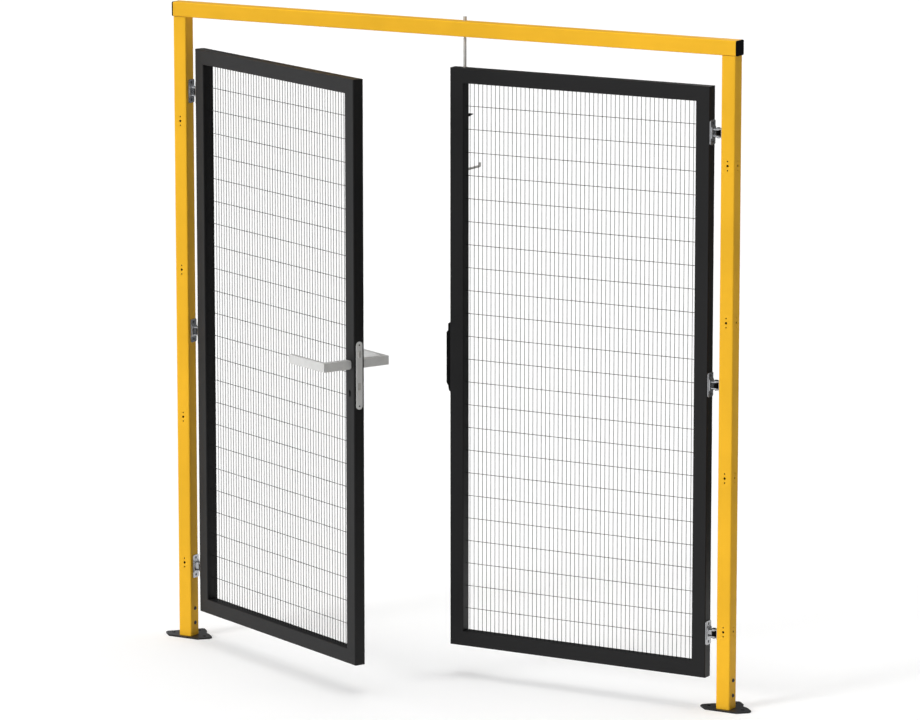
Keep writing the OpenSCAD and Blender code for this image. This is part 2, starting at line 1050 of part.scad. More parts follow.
// L-shaped square-bar lever on the leaf's -y face: neck from the spindle, bar towards the hinges
module lever_handle() {
    outer = -leaf_half - handle_reach;
    inner = -leaf_half - 0.5;
    edge = spindle_x + neck_t / 2;
    difference() {
        union() {
            translate([spindle_x - neck_t / 2, (outer + inner) / 2, spindle_z])
                slab_x(neck_t)
                    polygon(rounded(inner - outer, lever_h, neck_corner, 6));
            translate([edge - lever_len / 2, outer + lever_t / 2, spindle_z])
                slab_y(lever_t)
                    polygon(rounded(lever_len, lever_h, 1));
        }
        translate([spindle_x, 0, spindle_z])
            cube(
                [spindle_w + 2 * seated, 2 * (leaf_half + spindle_end + 2), spindle_w + 2 * seated],
                center = true
            );
        translate([spindle_x, -grub_y, spindle_z - lever_h / 2 - 1])
            cylinder(r = grub_r + seated, h = lever_h / 2 - 1, $fn = fine);
    }
}

module front_handle() {
    color(ALUMINIUM)
        left_leaf()
            lever_handle();
}

module back_handle() {
    color(ALUMINIUM)
        left_leaf()
            mirror([0, 1, 0])
                lever_handle();
}

module handle_grub_screws() {
    bottom = spindle_z - lever_h / 2 + 0.5;
    color(DARK_STEEL)
        left_leaf()
            for (s = [-1, 1])
                translate([spindle_x, s * grub_y, bottom])
                    difference() {
                        cylinder(r = grub_r, h = spindle_z - spindle_w / 2 - bottom - 0.1, $fn = fine);
                        translate([0, 0, -1])
                            cylinder(r = grub_r * 0.57, h = 4, $fn = 6);
                    }
}

// ---- Strike box, on the right leaf's free stile ----

module right_meeting_stile() {
    color(LEAF_BLACK)
        right_axis()
            difference() {
                free_stile();
                for (z = strike_screw_z)
                    translate([leaf_end, 0, z])
                        bar_x(strike_screw_d + 2 * seated, 2 * tube_wall + 2);
                translate([rod_x, leaf_half, rod_handle_z + rod_travel / 2])
                    slab_y(2 * tube_wall + 2)
                        polygon(stadium(rod_travel + 2 * arm_r + 1, 2 * arm_r + 1));
                for (z = stay_screw_z)
                    translate([rod_x, leaf_half, z])
                        bar_y(stay_screw_d + 2 * seated, 2 * tube_wall + 2);
            }
}

// Pocket that a bolt of the other leaf enters
module strike_pocket(z, h) {
    translate([strike_floor, -bolt_w / 2 - pocket_side, z - h / 2 - pocket_end])
        cube([centre_gap, bolt_w + 2 * pocket_side, h + 2 * pocket_end]);
}

module strike_box() {
    color(PLASTIC)
        right_axis()
            difference() {
                slab_y(2 * strike_half)
                    polygon([
                        [leaf_end, spindle_z - 147], [leaf_end, spindle_z + 89],
                        [flange_face, spindle_z + 83], [flange_face, spindle_z + 60],
                        [strike_face, spindle_z + 54], [strike_face, spindle_z - 117],
                        [flange_face, spindle_z - 126], [flange_face - 3, spindle_z - 142]
                    ]);
                strike_pocket(latch_z, latch_h);
                strike_pocket(bolt_z, bolt_h);
                for (z = strike_screw_z)
                    translate([leaf_end, 0, z])
                        bar_x(strike_screw_d + 2 * loose, 2 * centre_gap);
                translate([strike_screw_seats[0] - 0.01, 0, strike_screw_z[0]])
                    rotate([0, 90, 0])
                        cylinder(r = 5, h = 8, $fn = fine);
            }
}

module strike_screws() {
    color(ZINC)
        right_axis()
            for (i = [0, 1])
                translate([strike_screw_seats[i], 0, strike_screw_z[i]])
                    button_screw(strike_screw_d, strike_screw_d, 2.6, 14);
}

// ---- Shoot bolt, in the right leaf's free stile ----

module right_top_rail() {
    color(LEAF_BLACK)
        right_axis()
            difference() {
                top_rail();
                translate([rod_x, rod_y, leaf_top - tube_wall - 1])
                    cylinder(r = rod_r + bush_wall + 0.1, h = tube_wall + 2, $fn = round_fn);
            }
}

// Flanged bush that guides the rod where it leaves the leaf
module rod_bush() {
    color(ZINC)
        right_axis()
            translate([rod_x, rod_y, leaf_top])
                difference() {
                    union() {
                        translate([0, 0, -bush_len])
                            cylinder(r = rod_r + bush_wall, h = bush_len + 1, $fn = round_fn);
                        cylinder(r = rod_r + bush_flange, h = bush_flange_t, $fn = round_fn);
                    }
                    translate([0, 0, -bush_len - 1])
                        cylinder(r = rod_r + running, h = bush_len + 5, $fn = round_fn);
                }
}

// Blocks inside the stile that the rod slides in
module rod_guides() {
    inner_x = leaf_end - leaf_face + tube_wall + loose;
    block_d = leaf_depth - 2 * tube_wall - 2 * loose;
    color(PLASTIC)
        right_axis()
            difference() {
                for (z = guide_heights)
                    translate([inner_x + guide_w / 2, 0, z - guide_h / 2])
                        linear_extrude(guide_h)
                            polygon(rounded(guide_w, block_d, 2));
                translate([rod_x, rod_y, rod_bottom - 10])
                    cylinder(r = rod_r + running, h = rod_len, $fn = round_fn);
            }
}

module shoot_rod() {
    color(ZINC)
        right_axis()
            translate([rod_x, rod_y, 0])
                difference() {
                    union() {
                        translate([0, 0, rod_bottom])
                            cylinder(r = rod_r, h = rod_len - rod_nose, $fn = round_fn);
                        translate([0, 0, rod_top - rod_nose])
                            cylinder(r1 = rod_r, r2 = rod_r - 2, h = rod_nose, $fn = round_fn);
                    }
                    translate([0, rod_r, rod_handle_z])
                        bar_y(2 * (arm_neck_r + seated), 2 * rod_r);
                }
}

// Round arm that leaves the stile through its slot, with an upturned end
module rod_handle() {
    neck_end = rod_y + rod_r + 0.3;
    color(ZINC)
        right_axis()
            translate([rod_x, 0, rod_handle_z]) {
                translate([0, rod_y + 0.5, 0])
                    rotate([-90, 0, 0])
                        cylinder(r = arm_neck_r, h = neck_end - rod_y + 1, $fn = fine);
                translate([0, neck_end, 0])
                    rotate([-90, 0, 0])
                        cylinder(r = arm_r, h = arm_end - neck_end, $fn = fine);
                translate([0, arm_end, 0])
                    sphere(r = arm_r, $fn = fine);
                translate([0, arm_end, 0])
                    cylinder(r = arm_r, h = arm_upturn, $fn = fine);
            }
}

// Pointed bracket on the stile's back, above the rod's handle
module rod_stay() {
    color(PLASTIC)
        right_axis()
            difference() {
                union() {
                    translate([rod_x, leaf_half + stay_base_t / 2, stay_z])
                        slab_y(stay_base_t)
                            polygon(rounded(12, 42, 3));
                    translate([rod_x - stay_rib_t / 2, leaf_half + 1, stay_z])
                        slab_x(stay_rib_t)
                            polygon([[0, -6], [0, 6], [24, 4], [42, 1], [42, -1], [24, -4]]);
                }
                for (z = stay_screw_z)
                    translate([rod_x, leaf_half, z])
                        bar_y(stay_screw_d + 2 * loose, 20);
            }
}

module rod_stay_screws() {
    color(DARK_STEEL)
        right_axis()
            for (z = stay_screw_z)
                translate([rod_x, leaf_half + stay_base_t, z])
                    rotate([0, 0, 90])
                        button_screw(stay_screw_d, 3.8, 2.2, 6);
}

left_foot();
right_foot();
foot_screws();
left_post();
right_post();
top_beam();
left_beam_cap();
right_beam_cap();
head_plugs();
beam_bolts();
bolt_keeper();
left_post_brackets();
right_post_brackets();
left_hinge_pins();
right_hinge_pins();
left_post_bracket_screws();
right_post_bracket_screws();
left_hinge_stile();
left_lock_stile();
left_top_rail();
left_bottom_rail();
left_upright_wires();
left_cross_wires();
left_leaf_brackets();
left_hinge_bushes();
left_leaf_bracket_screws();
lock_case();
lock_forend();
forend_screws();
handle_spring();
right_hinge_stile();
right_meeting_stile();
right_top_rail();
right_bottom_rail();
right_upright_wires();
right_cross_wires();
right_leaf_brackets();
right_hinge_bushes();
right_leaf_bracket_screws();
strike_box();
strike_screws();
rod_guides();
rod_bush();
rod_stay();
rod_stay_screws();
lock_follower();
handle_spindle();
front_handle();
back_handle();
handle_grub_screws();
latch_bolt();
dead_bolt();
shoot_rod();
rod_handle();
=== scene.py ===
"""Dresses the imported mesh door: coats its tubes, strings its wire and sets it in a studio."""

import json
import math
from functools import cached_property

import bmesh
import bpy
from bpy.props import FloatProperty, FloatVectorProperty, IntProperty, PointerProperty
from mathutils import Matrix, Vector

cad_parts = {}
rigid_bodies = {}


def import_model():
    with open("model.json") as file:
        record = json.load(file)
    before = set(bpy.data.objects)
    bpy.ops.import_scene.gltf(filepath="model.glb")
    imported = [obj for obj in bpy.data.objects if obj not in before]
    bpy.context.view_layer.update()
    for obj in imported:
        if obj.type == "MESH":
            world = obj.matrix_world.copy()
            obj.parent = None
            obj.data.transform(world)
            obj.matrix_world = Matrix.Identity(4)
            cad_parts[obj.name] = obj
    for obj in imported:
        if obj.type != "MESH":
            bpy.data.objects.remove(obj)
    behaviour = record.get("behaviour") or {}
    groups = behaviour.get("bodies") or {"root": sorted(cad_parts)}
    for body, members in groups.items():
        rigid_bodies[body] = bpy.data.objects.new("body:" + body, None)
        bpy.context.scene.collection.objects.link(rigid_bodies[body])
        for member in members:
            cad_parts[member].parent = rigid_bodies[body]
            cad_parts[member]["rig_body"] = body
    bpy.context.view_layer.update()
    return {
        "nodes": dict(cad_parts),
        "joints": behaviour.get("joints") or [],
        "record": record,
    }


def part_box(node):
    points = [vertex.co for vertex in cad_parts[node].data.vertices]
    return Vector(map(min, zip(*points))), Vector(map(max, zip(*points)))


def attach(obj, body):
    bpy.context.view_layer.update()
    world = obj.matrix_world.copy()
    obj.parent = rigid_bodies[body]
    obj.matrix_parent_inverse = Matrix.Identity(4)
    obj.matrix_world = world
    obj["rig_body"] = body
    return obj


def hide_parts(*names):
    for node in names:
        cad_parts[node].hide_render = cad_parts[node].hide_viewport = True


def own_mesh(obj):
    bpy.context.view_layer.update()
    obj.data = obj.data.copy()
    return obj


bl_info = {
    "name": "Wire mesh door dressing",
    "version": (1, 0, 0),
    "blender": (4, 5, 0),
    "location": "View3D > Sidebar > Mesh Door",
    "description": "Coats, wires and lights a double wire mesh door",
    "category": "Object",
}

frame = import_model()
JOINTS = {joint["name"]: joint for joint in frame["joints"]}

# The leaves are alike, and the right one is shut, so its boxes give both leaves' sizes.
RIGHT_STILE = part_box("right_meeting_stile")
RIGHT_HINGE_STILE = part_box("right_hinge_stile")
TOP_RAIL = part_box("right_top_rail")
BOTTOM_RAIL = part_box("right_bottom_rail")
HINGE_X, HINGE_Y = JOINTS["right_leaf_swing"]["pos_m"][:2]
OPEN_ANGLE = math.radians(JOINTS["left_leaf_swing"]["range_deg"][0])
POST_X = (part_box("right_post")[0].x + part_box("right_post")[1].x) / 2

# The opening that the wires fill, in a leaf's own frame.
WIRE_X0 = HINGE_X - RIGHT_HINGE_STILE[0].x
WIRE_X1 = HINGE_X - RIGHT_STILE[1].x
WIRE_Z0 = BOTTOM_RAIL[1].z
WIRE_Z1 = TOP_RAIL[0].z

# Two vertices of a CAD node that lie closer than this are one.
SAME_POINT = 1e-6
# The span of a noise's values over which a finish runs from its low to its high shade.
TINT_SPAN = (0.35, 0.65)
# A tube's face that lies deeper than this is on the inside of its 2 mm wall, and is painted dark as
# shade.
SHADED_WALL_DEPTH = 0.0018
# Edges sharper than this many degrees stay crisp on a shape that has real rounded corners.
ROUND_ANGLE = 32
# The same for a shape whose edges were bevelled.
BEVELLED_ANGLE = 40
# Radii of the finest edges: of the hinge brackets and the forend, and of the feet.
PLATE_EDGE = 0.0004
FOOT_EDGE = 0.0009

# Sizes of the screws. A head runs from its seat over its middle to its face, and its shank and
# its socket run back from there.
FLUSH_SCREW = {
    "Seat radius": 0.0025,
    "Middle radius": 0.00365,
    "Face radius": 0.0048,
    "Head height": 0.0023,
    "Shank radius": 0.0025,
    "Shank length": 0.0117,
    "Socket radius": 0.002,
    "Socket depth": 0.0017,
}
BUTTON_SCREW = {
    "Seat radius": 0.0068,
    "Middle radius": 0.0062,
    "Face radius": 0.0040,
    "Head height": 0.0042,
    "Shank radius": 0.004,
    "Shank length": 0.012,
    "Socket radius": 0.0029,
    "Socket depth": 0.0024,
}

# The handle's return spring: its wire's diameter, its turns, and the steps in a turn and the
# sides of the wire that the mesh has.
SPRING_WIRE = 0.0008
SPRING_TURNS = 7
SPRING_STEPS = 20
SPRING_SIDES = 8

# How far the floor goes on each side, and its own colour.
FLOOR_REACH = 30.0
FLOOR_COLOUR = (0.8, 0.8, 0.8, 1)

# The screen stands on an arc about the doorway's middle, whose ends and whose step up are in
# degrees round from the right.
SCREEN_RADIUS = 2.2
SCREEN_FROM = -50
SCREEN_TO = 165
SCREEN_STEPS = 60
SCREEN_SIDE_HEIGHT = 2.3
SCREEN_BACK_HEIGHT = 4.8
SCREEN_BACK_FROM = 95


def post_place(side):
    """Matrix from a hinge's frame (x towards the doorway's middle) to the row frame."""
    way = 1 if side == "left" else -1
    return Matrix.Translation((-way * HINGE_X, HINGE_Y, 0)) @ Matrix.Diagonal((way, 1, 1, 1))


def leaf_place(side):
    """The same frame, turned with the leaf that hangs there."""
    turn = OPEN_ANGLE if side == "left" else 0
    return post_place(side) @ Matrix.Rotation(turn, 4, "Z")


# ---- Settings ----


def colour_setting(name, description, default):
    return FloatVectorProperty(
        name=name,
        description=description,
        subtype="COLOR",
        size=3,
        min=0,
        max=1,
        default=default,
    )


def length_setting(name, description, default, least, most):
    return FloatProperty(
        name=name,
        description=description,
        default=default,
        min=least,
        max=most,
        unit="LENGTH",
        subtype="DISTANCE",
    )


def angle_setting(name, description, degrees):
    return FloatProperty(
        name=name, description=description, subtype="ANGLE", default=math.radians(degrees)
    )


def level_setting(name, description, default, most):
    return FloatProperty(name=name, description=description, default=default, min=0, max=most)


class MeshDoorCoats(bpy.types.PropertyGroup):
    """Colours of the coats and metals."""

    yellow: colour_setting(
        "Post yellow", "Powder coat of the posts and the beam", (0.84, 0.455, 0.026)
    )
    leaf_black: colour_setting(
        "Leaf black", "Fine-textured powder coat of the leaves", (0.0084, 0.0084, 0.0088)
    )
    foot_black: colour_setting("Foot black", "Coat of the foot plates", (0.018, 0.018, 0.019))
    handle_metal: colour_setting(
        "Handle aluminium", "Anodised aluminium of the levers and the forend", (0.64, 0.64, 0.63)
    )
    hinge_metal: colour_setting(
        "Hinge steel", "Plating of the hinge brackets", (0.44, 0.45, 0.47)
    )
    zinc: colour_setting(
        "Bright zinc", "Plating of the rod, the bolts and the small screws", (0.50, 0.49, 0.47)
    )


class MeshDoorMesh(bpy.types.PropertyGroup):
    """Sizes of the wire mesh."""

    columns: IntProperty(
        name="Upright wires",
        description="Number of upright wires in a leaf",
        default=53,
        min=10,
        max=80,
    )
    rows: IntProperty(
        name="Cross wires",
        description="Number of cross wires in a leaf",
        default=23,
        min=5,
        max=60,
    )
    wire: length_setting("Wire", "Diameter of the wires", 0.002, 0.0012, 0.004)


class MeshDoorFittings(bpy.types.PropertyGroup):
    """Sizes of the edges that the fittings are softened by."""

    lever_edge: length_setting("Lever edge", "Radius of the levers' edges", 0.0016, 0.0002, 0.003)
    cap_edge: length_setting(
        "Cap edge", "Radius of the beam caps' outer edge", 0.0022, 0.0002, 0.004
    )
    box_edge: length_setting(
        "Strike box edge", "Radius of the strike box's edges", 0.0012, 0.0002, 0.002
    )


class MeshDoorStage(bpy.types.PropertyGroup):
    """Camera and light."""

    camera_at: FloatVectorProperty(
        name="Camera",
        description="Where the camera stands",
        subtype="TRANSLATION",
        unit="LENGTH",
        size=3,
        default=(8.64789, -15.2291, 4.37915),
    )
    azimuth: angle_setting("Azimuth", "Turn of the camera about the upright", 29.4798)
    elevation: angle_setting(
        "Elevation", "Height of the camera above level, as an angle", 10.7024
    )
    lens: FloatProperty(
        name="Lens",
        description="Focal length on a 36 mm sensor, in millimetres",
        default=209.06,
        min=20,
        max=600,
    )
    ambient: level_setting("Ambient", "Level of the light from all round", 0.25, 2)
    key: level_setting("Key", "Strength of the lamp overhead", 1.75, 10)
    front: level_setting("Front", "Strength of the lamp in front", 2.01, 10)
    side_screen: level_setting("Side screen", "Level of the grey screen on the right", 0.10, 1)
    corner_screen: level_setting(
        "Corner screen", "Level of the screen towards the far right", 0.18, 1
    )
    back_screen: level_setting("Back screen", "Level of the screen behind", 0.08, 1)
    floor_lift: level_setting(
        "Floor lift", "What the floor adds to its own colour where the camera sees it", 0.27, 1
    )


# ---- Node trees and materials ----


class Nodes:
    """Adds nodes to a node tree and links them."""

    def __init__(self, tree):
        self.tree = tree

    def node(self, kind, **values):
        """Adds a node; sockets and plain values go to its inputs, use_ names to its properties."""
        made = self.tree.nodes.new(kind)
        for name, value in values.items():
            if name.startswith("use_"):
                setattr(made, name[4:], value)
            else:
                self.feed(value, made.inputs[name.replace("_", " ")])
        return made

    def feed(self, value, target):
        """Links a socket to an input, or sets the input to a plain value."""
        if isinstance(value, bpy.types.NodeSocket):
            self.tree.links.new(value, target)
        else:
            target.default_value = value

    def math(self, operation, a, b):
        made = self.node("ShaderNodeMath", use_operation=operation)
        self.feed(a, made.inputs[0])
        self.feed(b, made.inputs[1])
        return made.outputs[0]


class Finish(Nodes):
    """A node material in the making, with its shader and object coordinates."""

    def __init__(self, name):
        self.material = bpy.data.materials.new(name)
        self.material.use_nodes = True
        super().__init__(self.material.node_tree)
        self.shader = self.tree.nodes["Principled BSDF"]

    @cached_property
    def coords(self):
        return self.node("ShaderNodeTexCoord").outputs["Object"]

    def noise(self, scale, detail=2.0, roughness=0.5, stretch=None):
        """Noise on object coordinates; stretch scales them along each axis first."""
        at = self.coords
        if stretch:
            at = self.node("ShaderNodeMapping", Vector=at, Scale=stretch).outputs["Vector"]
        made = self.node(
            "ShaderNodeTexNoise", Vector=at, Scale=scale, Detail=detail, Roughness=roughness
        )
        return made.outputs["Fac"]

    def tint(self, factor, low, high):
        """Base colour that runs from low to high with factor."""
        ramp = self.node("ShaderNodeValToRGB", Fac=factor)
        first, last = ramp.color_ramp.elements
        first.position, last.position = TINT_SPAN
        first.color, last.color = (*low, 1), (*high, 1)
        self.feed(ramp.outputs["Color"], self.shader.inputs["Base Color"])

    def spread(self, factor, low, high):
        """Roughness that runs from low to high with factor."""
        ranged = self.node("ShaderNodeMapRange", Value=factor, To_Min=low, To_Max=high)
        self.feed(ranged.outputs["Result"], self.shader.inputs["Roughness"])

    def bump(self, height, strength, distance):
        made = self.node("ShaderNodeBump", Height=height, Strength=strength, Distance=distance)
        self.feed(made.outputs["Normal"], self.shader.inputs["Normal"])

    def plain(self, **values):
        """Sets what is the same all over the surface, on the shader's own sockets."""
        for name, value in values.items():
            self.shader.inputs[name.replace("_", " ")].default_value = value


def shade(colour, factor):
    """The colour made darker or lighter, as far as white."""
    return tuple(min(1.0, c * factor) for c in colour)


def powder_coat(name, colour, roughness, grain, depth, gloss):
    """Sprayed powder: slow drifts of shade, a fine orange peel and an uneven sheen."""
    finish = Finish(name)
    finish.tint(finish.noise(3.0, detail=3.0), shade(colour, 0.94), shade(colour, 1.05))
    finish.spread(finish.noise(14.0), roughness - 0.05, roughness + 0.06)
    finish.bump(finish.noise(grain, roughness=0.6), 0.35, depth)
    finish.plain(Specular_IOR_Level=gloss)
    return finish.material


def plated_steel(name, colour, roughness, metallic):
    """Plated steel: cloudy plating with fine drawn lines along the part's length."""
    finish = Finish(name)
    finish.tint(finish.noise(60.0, detail=4.0), shade(colour, 0.92), shade(colour, 1.06))
    drawn = finish.noise(900.0, stretch=(1.0, 1.0, 0.08))
    finish.spread(drawn, roughness - 0.08, roughness + 0.12)
    finish.bump(finish.noise(1400.0, stretch=(1.0, 1.0, 0.1)), 0.12, 0.00004)
    finish.plain(Metallic=metallic)
    return finish.material


def satin_aluminium(name, colour):
    """Anodised aluminium: fine cross-grain left by blasting, with a soft drift of shade."""
    finish = Finish(name)
    finish.tint(finish.noise(25.0, detail=3.0), shade(colour, 0.95), shade(colour, 1.04))
    finish.spread(finish.noise(500.0, detail=3.0), 0.34, 0.50)
    finish.bump(finish.noise(2600.0, detail=1.0), 0.10, 0.00003)
    finish.plain(Metallic=0.2, Specular_IOR_Level=0.3)
    return finish.material


def moulded_plastic(name, colour, roughness):
    """Moulded plastic: spark-eroded grain and a few duller patches."""
    finish = Finish(name)
    finish.tint(finish.noise(30.0), shade(colour, 0.85), shade(colour, 1.2))
    finish.spread(finish.noise(90.0, detail=3.0), roughness - 0.08, roughness + 0.08)
    finish.bump(finish.noise(1800.0), 0.3, 0.00005)
    finish.plain(Specular_IOR_Level=0.05)
    return finish.material


FINISHES = {
    "yellow_paint": lambda coats: powder_coat(
        "yellow_powder_coat",
        coats.yellow,
        roughness=0.40,
        grain=700.0,
        depth=0.00008,
        gloss=0.07,
    ),
    "leaf_paint": lambda coats: powder_coat(
        "black_powder_coat",
        coats.leaf_black,
        roughness=0.40,
        grain=1500.0,
        depth=0.00010,
        gloss=0.21,
    ),
    "wire_coating": lambda coats: powder_coat(
        "wire_powder_coat",
        coats.leaf_black,
        roughness=0.45,
        grain=1800.0,
        depth=0.00006,
        gloss=0.08,
    ),
    "foot_coating": lambda coats: powder_coat(
        "foot_powder_coat",
        coats.foot_black,
        roughness=0.30,
        grain=1100.0,
        depth=0.00008,
        gloss=0.22,
    ),
    "hinge_steel": lambda coats: plated_steel(
        "plated_steel", coats.hinge_metal, roughness=0.22, metallic=0.9
    ),
    "zinc_steel": lambda coats: plated_steel(
        "bright_zinc", coats.zinc, roughness=0.38, metallic=0.35
    ),
    "blackened_steel": lambda coats: plated_steel(
        "black_oxide", (0.045, 0.047, 0.053), roughness=0.36, metallic=0.6
    ),
    "handle_aluminium": lambda coats: satin_aluminium("satin_aluminium", coats.handle_metal),
    "black_plastic": lambda coats: moulded_plastic(
        "black_plastic", (0.0025, 0.0025, 0.0026), roughness=0.50
    ),
}
_made = {}


def finish_of(slot):
    """The material for a slot of the record, made once."""
    if slot not in _made:
        _made[slot] = FINISHES[slot](bpy.context.scene.mesh_door_coats)
    return _made[slot]


def slot_of(node):
    return next(p["material_slot"] for p in frame["record"]["subparts"] if p["node"] == node)


def coat_nodes(*nodes):
    """Gives CAD nodes that stay the finish of their slot."""
    for node in nodes:
        data = frame["nodes"][node].data
        data.materials.clear()
        data.materials.append(finish_of(slot_of(node)))


# ---- Making pieces ----


def new_piece(name, mesh, nodes):
    """Links a finished mesh as a piece that stands for these CAD nodes and rides as they do."""
    piece = bpy.data.objects.new(name, mesh)
    bpy.context.scene.collection.objects.link(piece)
    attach(piece, frame["nodes"][nodes[0]]["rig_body"])
    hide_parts(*nodes)
    return piece


def settle(mesh, place):
    """Moves a mesh into the row frame and turns its faces outwards again if that mirrored it."""
    mesh.transform(place)
    if place.determinant() < 0:
        mesh.flip_normals()


def smooth(mesh, angle):
    """Smooth faces, with edges sharper than the angle kept crisp."""
    mesh.polygons.foreach_set("use_smooth", [True] * len(mesh.polygons))
    mesh.set_sharp_from_angle(angle=math.radians(angle))
    mesh.update()


def merged_mesh(node):
    """A bmesh of a CAD node with its loose triangles merged."""
    bm = bmesh.new()
    bm.from_mesh(frame["nodes"][node].data)
    bmesh.ops.remove_doubles(bm, verts=bm.verts, dist=SAME_POINT)
    return bm


def merged_copy(node, name, join_flats=False):
    """The CAD node again as a piece of its own, with its loose triangles merged."""
    bm = merged_mesh(node)
    if join_flats:
        bmesh.ops.dissolve_limit(bm, angle_limit=math.radians(1), verts=bm.verts, edges=bm.edges)
    mesh = bpy.data.meshes.new(name)
    bm.to_mesh(mesh)
    bm.free()
    mesh.materials.append(finish_of(slot_of(node)))
    return new_piece(name, mesh, [node])


def plain_mesh(thing):
    """The object's evaluated shape as a mesh of its own."""
    bpy.context.view_layer.update()
    evaluated = thing.evaluated_get(bpy.context.evaluated_depsgraph_get())
    return bpy.data.meshes.new_from_object(evaluated)


def apply_modifiers(piece):
    """Turns the evaluated shape into the piece's own mesh."""
    mesh = plain_mesh(piece)
    piece.modifiers.clear()
    piece.data = mesh


def keep_flats_flat(piece, angle):
    """Smooth faces whose flats shade flat, with their rounded edges taking up the whole turn."""
    smooth(piece.data, angle)
    weighted = piece.modifiers.new("Flats", "WEIGHTED_NORMAL")
    weighted.mode = "FACE_AREA"
    weighted.keep_sharp = True
    apply_modifiers(piece)


def rounded_copies(*nodes):
    """CAD nodes again with their rounded corners and round bars shaded round."""
    made = [merged_copy(node, f"{node}_coated") for node in nodes]
    for piece in made:
        keep_flats_flat(piece, ROUND_ANGLE)
    return made


def shaded_bare_inside(piece, along):
    """Gives a tube's inner walls dark black oxide: bare steel inside, painted darker as shade so
    the open holes look dark; the coat stays on the outside and the holes' edges.
    """
    mesh = piece.data
    # The dark steel inside is partly the bare, uncoated wall and partly painted shade in the tube.
    mesh.materials.append(finish_of("blackened_steel"))
    low, high = piece.bound_box[0], piece.bound_box[6]
    across = [i for i in range(3) if i != along]
    for face in mesh.polygons:
        at = face.center
        if min(min(at[i] - low[i], high[i] - at[i]) for i in across) > SHADED_WALL_DEPTH:
            face.material_index = 1


def softened_copy(node, name, edge, segments=3, angle=35):
    """The CAD node again, its triangles merged, its flats joined and its edges bevelled round."""
    piece = merged_copy(node, name, join_flats=True)
    bevel = piece.modifiers.new("Edges", "BEVEL")
    bevel.width = edge
    bevel.segments = segments
    bevel.limit_method = "ANGLE"
    bevel.angle_limit = math.radians(angle)
    bevel.use_clamp_overlap = True
    apply_modifiers(piece)
    keep_flats_flat(piece, BEVELLED_ANGLE)
    return piece


class Tree(Nodes):
    """A Geometry Nodes group in the making, with named inputs and one geometry output."""

    def __init__(self, name, takes_geometry=False):
        super().__init__(bpy.data.node_groups.new(name, "GeometryNodeTree"))
        self.identifiers = {}
        for way in ("INPUT", "OUTPUT") if takes_geometry else ("OUTPUT",):
            self.tree.interface.new_socket(
                "Geometry", in_out=way, socket_type="NodeSocketGeometry"
            )
        self.inlet = self.node("NodeGroupInput")
        self.outlet = self.node("NodeGroupOutput")

    def input(self, name, kind):
        """Adds a named input and returns its socket inside the group."""
        made = self.tree.interface.new_socket(
            name, in_out="INPUT", socket_type=f"NodeSocket{kind}"
        )
        self.identifiers[name] = made.identifier
        return self.inlet.outputs[name]

    def vector(self, **values):
        return self.node("ShaderNodeCombineXYZ", **values).outputs[0]

    def moved(self, geometry, **values):
        """The geometry moved by these distances along X, Y or Z."""
        return self.node(
            "GeometryNodeTransform", Geometry=geometry, Translation=self.vector(**values)
        ).outputs[0]

    def close(self, geometry, material):
        """Realises the instances, sets the material and ends the tree."""
        real = self.node("GeometryNodeRealizeInstances", Geometry=geometry).outputs[0]
        painted = self.node("GeometryNodeSetMaterial", Geometry=real, Material=material)
        self.feed(painted.outputs[0], self.outlet.inputs[0])

    def run(self, name, source, values):
        """Runs the tree on a throwaway object and returns the result as a plain mesh."""
        holder = bpy.data.objects.new(name, source)
        bpy.context.scene.collection.objects.link(holder)
        modifier = holder.modifiers.new("Nodes", "NODES")
        modifier.node_group = self.tree
        for key, value in values.items():
            modifier[self.identifiers[key]] = value
        mesh = plain_mesh(holder)
        mesh.name = name
        holder.modifiers.clear()
        bpy.data.objects.remove(holder)
        if not mesh.polygons:
            raise RuntimeError(f"{name}: the node tree made nothing")
        return mesh


def wire_tree():
    """A row of equal straight wires: each stands along Z, and the row runs along X."""
    tree = Tree("WireRow")
    length = tree.input("Length", "Float")
    count = tree.input("Count", "Int")
    pitch = tree.input("Pitch", "Float")
    wire = tree.input("Wire", "Float")
    material = tree.input("Material", "Material")
    line = tree.node("GeometryNodeCurvePrimitiveLine", End=tree.vector(Z=length))
    ring = tree.node(
        "GeometryNodeCurvePrimitiveCircle", Resolution=8, Radius=tree.math("MULTIPLY", wire, 0.5)
    )
    rod = tree.node(
        "GeometryNodeCurveToMesh",
        Curve=line.outputs[0],
        Profile_Curve=ring.outputs[0],
        Fill_Caps=True,
    )
    row = tree.node("GeometryNodeMeshLine", Count=count, Offset=tree.vector(X=pitch))
    wires = tree.node(
        "GeometryNodeInstanceOnPoints", Points=row.outputs[0], Instance=rod.outputs[0]
    )
    tree.close(wires.outputs[0], material)
    return tree


